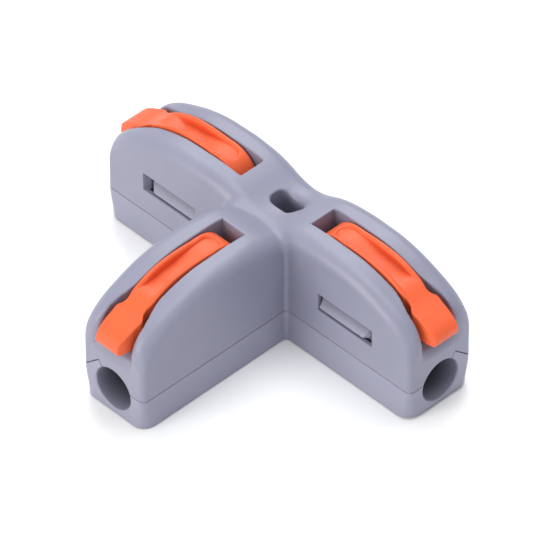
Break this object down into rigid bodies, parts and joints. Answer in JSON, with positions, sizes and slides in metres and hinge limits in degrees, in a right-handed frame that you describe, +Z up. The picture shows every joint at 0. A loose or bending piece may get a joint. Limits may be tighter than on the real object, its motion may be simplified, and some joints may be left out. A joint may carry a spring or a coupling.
{
  "type": "lever wire connector",
  "caption": "T-shaped compact splice block with a hinged lever over each round wire port and a clamp spring under each lever.",
  "frame": {"origin": "on the resting plane, under the middle of the straight run, where the centre lines of the three arms meet", "axes": "+X along the straight run, -Y along the stem, +Z up, out of the levers"},
  "size_m": [0.0446, 0.0289, 0.0143],
  "materials": {
    "housing": "satin moulded polyamide",
    "lever": "satin moulded",
    "spring": "spring strip",
    "bar": "tin plated copper"
  },
  "bodies": {
    "block": {"upper_housing": "housing", "base": "housing", "current_bar": "bar", "clamp_spring_right": "spring", "clamp_spring_left": "spring", "clamp_spring_stem": "spring"},
    "right_lever": {"lever_right": "lever"},
    "left_lever": {"lever_left": "lever"},
    "stem_lever": {"lever_stem": "lever"}
  },
  "joints": [
    {"name": "lever_right_hinge", "type": "hinge", "parent": "block", "child": "right_lever", "pos_m": [0.0087, 0, 0.011], "axis": [0, -1, 0], "range_deg": [0, 95], "deforming": ["clamp_spring_right"]},
    {"name": "lever_left_hinge", "type": "hinge", "parent": "block", "child": "left_lever", "pos_m": [-0.0087, 0, 0.011], "axis": [0, 1, 0], "range_deg": [0, 95], "deforming": ["clamp_spring_left"]},
    {"name": "lever_stem_hinge", "type": "hinge", "parent": "block", "child": "stem_lever", "pos_m": [0, -0.011, 0.011], "axis": [-1, 0, 0], "range_deg": [0, 95], "deforming": ["clamp_spring_stem"]}
  ]
}
